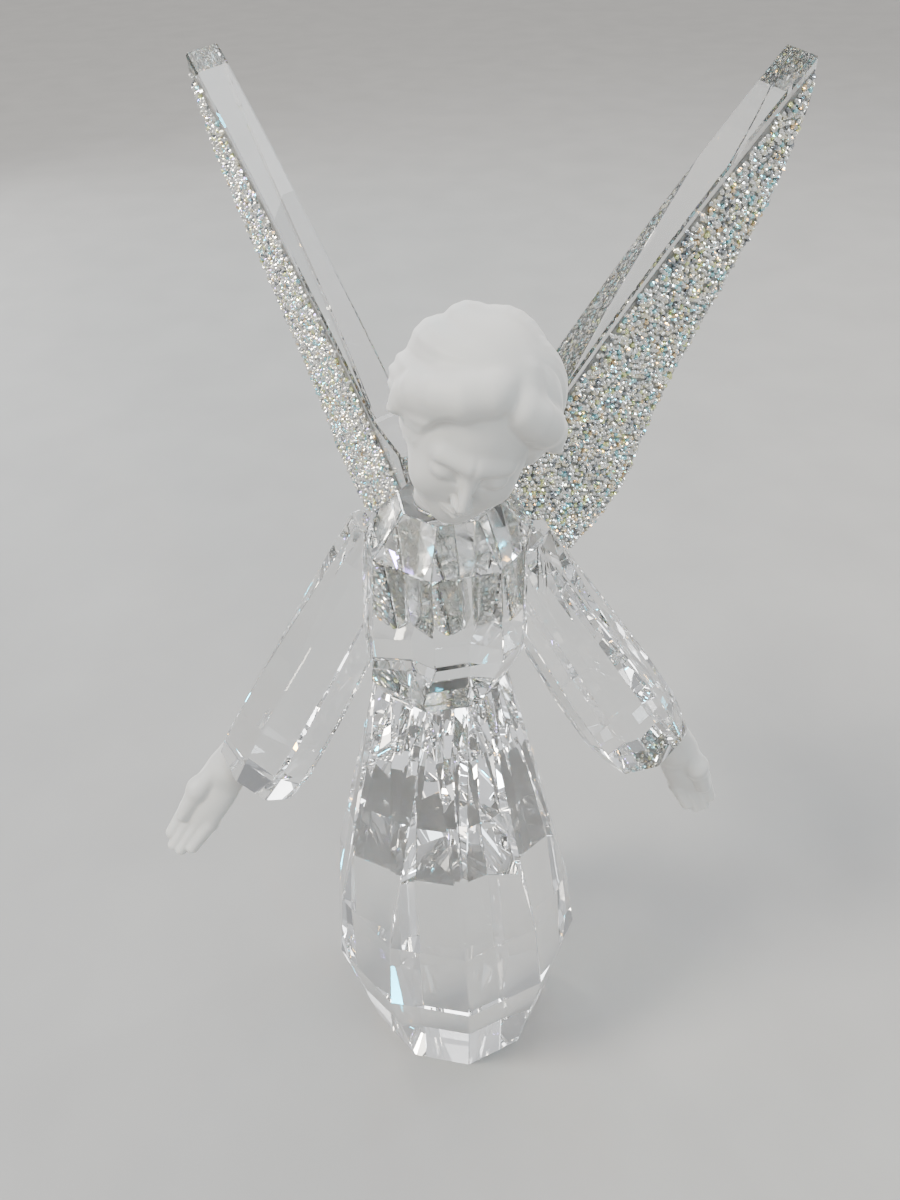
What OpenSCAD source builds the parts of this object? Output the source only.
// Crystal glass angel: cut clear crystal skirt, bodice, sleeves and wings,
// satin glass head and hands, and wings set with small crystals.
// Origin at the centre of the base, +Z up, the figure faces -Y.

/* [Skirt] */
// Corner radius of the flat base
base_r = 19; // [17:0.1:22]
// Corner radius of the girdle, the widest ring
girdle_r = 24.6; // [23:0.1:27]
// Height of the girdle above the base
girdle_z = 32.5; // [24:0.5:34]
// Corner radius where the long facets begin
flare_r = 22.6; // [21:0.1:23]
// Height where the long facets begin
flare_z = 49; // [42:0.5:52]
// Height of the waist, the top of the skirt
waist_z = 100.4; // [96:0.1:105]
// Corner radius of the skirt at the waist
waist_r = 10.4; // [9:0.1:11]

/* [Bodice] */
// Corner radius of the bodice
bodice_r = 12.6; // [12:0.1:14]
// Height of the bodice
bodice_h = 32.4; // [30:0.1:36]
// Sideways lean of the upper body, measured at the shoulders
lean = 2.3; // [0:0.1:3]
// Width between the flats that the sleeves are bonded to
shoulder_w = 22.6; // [21:0.1:23]

/* [Head] */
// Height from chin to crown
head_h = 26; // [24:0.5:30]
// Width across the hair
head_w = 22; // [20:0.1:25]
// How far the head is bowed forward, in degrees
head_bow = 20; // [10:1:30]
// How far the head leans to its left, in degrees
head_roll = 17; // [0:1:24]
// How far the face turns to its left, in degrees
head_turn = 14; // [0:1:20]

/* [Arms] */
// Radius of a sleeve at its open end
cuff_r = 8.2; // [7:0.1:9]
// Length of a hand from wrist to fingertips
hand_l = 23; // [18:0.5:24]
// Width of a hand across the fingers
hand_w = 8.4; // [6:0.1:9]

/* [Wings] */
// Length of a wing along its front edge, above the shoulder
wing_l = 71; // [60:0.5:72]
// Greatest width of a wing
wing_w = 36; // [32:0.5:38]
// How far the front edge of a wing bows forward
wing_bow = 1.5; // [0:0.1:2.5]
// Thickness of the wing plate
wing_t = 5.4; // [4:0.1:6]
// Thickness of the layer of set crystals
stone_t = 0.8; // [0.6:0.05:1]

/* [Bonds] */
// Thickness of the clear adhesive films
film = 0.15; // [0.1:0.01:0.2]

/* [Hidden] */

LEFT = 1;
RIGHT = -1;
BIG = 600;
crystal = [0.86, 0.89, 0.91, 0.45];
satin = [0.93, 0.93, 0.94];
sparkle = [0.84, 0.85, 0.8];
glue = [0.9, 0.92, 0.9, 0.5];

skirt_sides = 10;
bodice_sides = 8;
bodice_z = waist_z + film;
bodice_flat = bodice_r * cos(180 / bodice_sides);
neck_z = bodice_z + bodice_h;
neck_r = 5;

// Arm geometry: the middle of each cuff, the way its flat end faces, and the way the hand points
shoulder_z = bodice_z + 21.5;
left_cuff = [33.1, 1, 88];
right_cuff = [-29, -12, 83.6];
left_cuff_facing = [0.5, 0.05, -0.86];
right_cuff_facing = [-0.62, -0.3, -0.72];
left_hand_along = [0.36, 0.08, -0.93];
right_hand_along = [-0.5, -0.38, -0.78];
wrist_r = 3.1;
wrist_offset = 4.5;

// Wing geometry: the root is the lower front corner of the outer face
wing_root = [8, 11.6, 129];
wing_up = [0.535, 0.487, 0.69];
wing_facing = [0.774, -0.61, -0.17];

function unit(v) = v / norm(v);
function cuff_at(side) = side == LEFT ? left_cuff : right_cuff;
function cuff_out(side) = unit(side == LEFT ? left_cuff_facing : right_cuff_facing);
function hand_way(side) = side == LEFT ? left_hand_along : right_hand_along;

// Corners of a level ring of n points; phase 0 puts a corner at the front
function ring(r, z, n, phase = 0, x = 0, depth = 1) =
    [for (k = [0 : n - 1]) [x + r * sin(phase + 360 * k / n), -depth * r * cos(phase + 360 * k / n), z]];

// Point on a cubic Bezier curve through four control points
function bezier(p, t) =
    p[0] * pow(1 - t, 3) + p[1] * 3 * t * pow(1 - t, 2) + p[2] * 3 * pow(t, 2) * (1 - t) + p[3] * pow(t, 3);
function curve(p, steps) = [for (k = [0 : steps - 1]) bezier(p, k / steps)];

// Convex cut stone through a set of corners
module cut_stone(corners) {
    hull() polyhedron(corners, [[for (k = [0 : len(corners) - 1]) k]]);
}

// Moves its children so that local Z looks along facing and local Y lies along up
module placed(at, up, facing) {
    z = unit(facing);
    x = unit(cross(up, z));
    y = cross(z, x);
    turn = [[x.x, y.x, z.x, at.x], [x.y, y.y, z.y, at.y], [x.z, y.z, z.z, at.z], [0, 0, 0, 1]];
    multmatrix(turn) children();
}

// Everything on one side of a plane through a point
module half_space(at, facing, up = [0, 0, 1]) {
    placed(at, up, facing) translate([-BIG / 2, -BIG / 2, 0]) cube(BIG);
}

// Thin slab just beyond a plane through a point
module slab(at, facing, thickness, up = [0, 0, 1]) {
    placed(at, up, facing) translate([-BIG / 2, -BIG / 2, 0]) cube([BIG, BIG, thickness]);
}

// ---------- skirt ----------

module skirt() {
    phase = 180 / skirt_sides;
    tuck_r = waist_r * 1.26;
    tuck_z = waist_z - 12;
    color(crystal) cut_stone(concat(
        ring(base_r, 0, skirt_sides, phase),
        ring(girdle_r, girdle_z, skirt_sides, phase),
        ring(flare_r, flare_z, skirt_sides, phase),
        ring(tuck_r, tuck_z, skirt_sides, phase),
        ring(waist_r, waist_z, skirt_sides)));
}

// ---------- bodice ----------

// Rings from the bevelled hem, through the chest ridge, up to the shoulders and the neckline
module bodice_blank() {
    hem_r = bodice_r - 1.7;
    hem_z = bodice_z + 3.2;
    ridge_r = bodice_r + 0.5;
    ridge_z = bodice_z + 11;
    chest_z = bodice_z + 13;
    shoulder_top_z = bodice_z + 27;
    neckline_r = bodice_r - 5.4;
    cut_stone(concat(
        ring(hem_r, bodice_z, bodice_sides),
        ring(bodice_r - 0.2, hem_z, bodice_sides),
        ring(ridge_r, ridge_z, bodice_sides, 0, lean),
        ring(bodice_r, chest_z, bodice_sides, 0, lean),
        ring(bodice_r, shoulder_top_z, bodice_sides, 0, lean),
        ring(neckline_r, neck_z, bodice_sides, 0, lean)));
}

module bodice() {
    color(crystal) difference() {
        bodice_blank();
        for (side = [LEFT, RIGHT])
            half_space([lean + side * shoulder_w / 2, 0, shoulder_z], [side, 0, 0]);
    }
}

// ---------- head ----------

// Head frame: origin at the middle of the neck joint, local Z up the neck
module head_frame() {
    translate([lean, 0, neck_z + film]) children();
}

module head_tilt() {
    translate([0, 0, neck_r * 0.7]) rotate([head_bow, head_roll, head_turn]) children();
}

// Skull and hair, jaw, and chin
module head_blank() {
    skull_r = head_w / 2;
    jaw_r = skull_r * 0.72;
    chin_r = neck_r * 0.76;
    hull() {
        translate([0, 1, head_h - skull_r]) sphere(r = skull_r, $fn = 40);
        translate([0, 1 - skull_r * 0.4, jaw_r]) sphere(r = jaw_r, $fn = 32);
        translate([0, 1 - skull_r * 0.5, chin_r]) sphere(r = chin_r, $fn = 32);
    }
}

module head() {
    color(satin) head_frame() {
        hull() {
            cylinder(h = 0.5, r = neck_r, $fn = 32);
            head_tilt() translate([0, 1, head_h * 0.4]) sphere(r = neck_r * 1.3, $fn = 32);
        }
        head_tilt() head_blank();
    }
}

// ---------- sleeves ----------

// Ring of n corners square to a line, used to build a sleeve along its axis
function cross_ring(at, axis, r, n, phase) =
    let (z = unit(axis), x = unit(cross([0, 1, 0], z)), y = cross(z, x))
    [for (k = [0 : n - 1]) at + r * (x * cos(phase + 360 * k / n) + y * sin(phase + 360 * k / n))];

module sleeve_blank(side) {
    top = [lean + side * (shoulder_w / 2 - 1), 0, shoulder_z];
    axis = cuff_at(side) - top;
    sides = 8;
    turn = 180 / sides;
    intersection() {
        cut_stone(concat(
            cross_ring(top + [0, 0, cuff_r * 0.55], axis, cuff_r * 0.56, sides, 0),
            cross_ring(top + axis * 0.12, axis, cuff_r * 0.8, sides, turn),
            cross_ring(top + axis * 0.6, axis, cuff_r * 0.97, sides, turn),
            cross_ring(top + axis * 0.88, axis, cuff_r, sides, turn),
            cross_ring(top + axis * 1.25, axis, cuff_r * 0.72, sides, turn)));
        half_space(cuff_at(side), -cuff_out(side));
    }
}

module sleeve(side) {
    color(crystal) difference() {
        sleeve_blank(side);
        half_space([lean + side * (shoulder_w / 2 + film), 0, shoulder_z], [-side, 0, 0]);
    }
}

// ---------- hands ----------

// Middle of the wrist, out from the middle of the cuff along its flat end
function wrist(side) =
    let (f = cuff_out(side), out = [side, 0, 0]) cuff_at(side) + wrist_offset * unit(out - (out * f) * f);

// Hand frame: local Z runs from wrist to fingertips, local Y out of the palm
module hand_frame(side) {
    placed(wrist(side), [side * 0.35, -1, 0], hand_way(side)) children();
}

// Round stem of the wrist, long enough to pass through the end of the cuff
module wrist_stem() {
    translate([0, 0, -wrist_r * 2]) cylinder(h = wrist_r * 4, r = wrist_r, $fn = 48);
}

module palm_and_fingers() {
    finger_r = hand_w / 7;
    palm_l = hand_l * 0.45;
    hull() {
        cylinder(h = 0.5, r = wrist_r, $fn = 32);
        for (edge = [-1, 1])
            translate([edge * hand_w * 0.3, 0, palm_l]) sphere(r = finger_r * 1.4, $fn = 24);
    }
    for (k = [0 : 3])
        hull() {
            x = (k - 1.5) * hand_w * 0.22;
            tip_z = hand_l - finger_r - abs(k - 1.5) * 1.1;
            translate([x, -0.2, palm_l]) sphere(r = finger_r * 1.2, $fn = 20);
            translate([x * 0.92, 0.3, tip_z]) sphere(r = finger_r, $fn = 20);
        }
}

// The thumb lies along the outer edge of the palm
module thumb(side) {
    hull() {
        translate([side * hand_w * 0.14, 0.7, hand_l * 0.2]) sphere(r = hand_w / 5.5, $fn = 20);
        translate([side * hand_w * 0.27, 1.2, hand_l * 0.42]) sphere(r = hand_w / 4.8, $fn = 20);
        translate([side * hand_w * 0.26, 1.2, hand_l * 0.66]) sphere(r = hand_w / 7, $fn = 20);
    }
}

module hand(side) {
    color(satin) difference() {
        hand_frame(side) {
            wrist_stem();
            palm_and_fingers();
            thumb(side);
        }
        half_space(cuff_at(side) + cuff_out(side) * film, -cuff_out(side));
    }
}

// ---------- wings ----------

// Outline of a wing: X runs back from the front edge, Y up along it from the root. It runs
// from the cut tip, down the long back edge to the belly and the heel, round to the toe,
// and up the bowed front edge.
function wing_outline(inset_front = 0, inset_back = 0, inset_tip = 0, tab = 0) =
    let (
        top = wing_l - inset_tip,
        w = wing_w - inset_back,
        tip = [4.6 - inset_back * 0.6, top - 1.6],
        belly = [w - 2.4, 14],
        heel = [w - 7, -12],
        toe = [inset_front, inset_back - 18],
        front_pull = inset_front - wing_bow * 4 / 3)
    concat(
        curve([tip, [w * 0.56, top - 13], [w * 0.49, top * 0.47], belly], 14),
        curve([belly, [w + 1.6, 6], [w + 0.6, -3], heel], 8),
        curve([heel, [w - 12, -18], [w * 0.4, -21], toe], 8),
        [toe - [tab, 0], [inset_front - tab, -2]],
        curve([[inset_front, 8], [front_pull, 26], [front_pull, top - 18], [inset_front, top + 0.5]], 12),
        [[inset_front, top + 0.5]]);

module wing_frame(side) {
    mirror([side == LEFT ? 0 : 1, 0, 0]) placed(wing_root, wing_up, wing_facing) children();
}

// Back facet of the bodice that a wing is bonded to
function back_facing(side) = [side * sin(180 / bodice_sides), cos(180 / bodice_sides), 0];
function back_point(side) = [lean, 0, 0] + back_facing(side) * bodice_flat;

module wing_blank(side) {
    root_tab = 7;
    wing_frame(side) translate([0, 0, -wing_t])
        linear_extrude(wing_t) polygon(wing_outline(tab = root_tab));
}

// Clears the bodice, and the plane between the two wings
module wing_cuts(side) {
    gap = 0.4;
    half_space(back_point(side) + back_facing(side) * film, -back_facing(side));
    half_space([side * gap, 0, 0], [-side, 0, 0]);
}

module wing(side) {
    color(crystal) difference() {
        wing_blank(side);
        wing_cuts(side);
    }
}

module wing_stones(side) {
    front_margin = 1.3;
    back_margin = 0.9;
    tip_margin = 1.4;
    root_margin = 2;
    color(sparkle) difference() {
        wing_frame(side) linear_extrude(stone_t)
            polygon(wing_outline(front_margin, back_margin, tip_margin, -root_margin));
        wing_cuts(side);
    }
}

// ---------- adhesive films ----------

module waist_bond() {
    color(glue) translate([0, 0, waist_z]) cylinder(h = film, r = waist_r * 0.92, $fn = 64);
}

module neck_bond() {
    color(glue) translate([lean, 0, neck_z]) cylinder(h = film, r = neck_r, $fn = 48);
}

module shoulder_bond(side) {
    color(glue) intersection() {
        bodice_blank();
        sleeve_blank(side);
        slab([lean + side * shoulder_w / 2, 0, shoulder_z], [side, 0, 0], film);
    }
}

module wrist_bond(side) {
    color(glue) intersection() {
        hand_frame(side) wrist_stem();
        slab(cuff_at(side), cuff_out(side), film);
    }
}

module wing_bond(side) {
    color(glue) intersection() {
        wing_blank(side);
        slab(back_point(side), back_facing(side), film);
        translate(back_facing(side) * film) bodice_blank();
    }
}

skirt();
bodice();
head();
sleeve(LEFT);  // left_sleeve
sleeve(RIGHT);  // right_sleeve
hand(LEFT);  // left_hand
hand(RIGHT);  // right_hand
wing(LEFT);  // left_wing
wing(RIGHT);  // right_wing
wing_stones(LEFT);  // left_wing_stones
wing_stones(RIGHT);  // right_wing_stones
waist_bond();
neck_bond();
shoulder_bond(LEFT);  // left_shoulder_bond
shoulder_bond(RIGHT);  // right_shoulder_bond
wrist_bond(LEFT);  // left_wrist_bond
wrist_bond(RIGHT);  // right_wrist_bond
wing_bond(LEFT);  // left_wing_bond
wing_bond(RIGHT);  // right_wing_bond
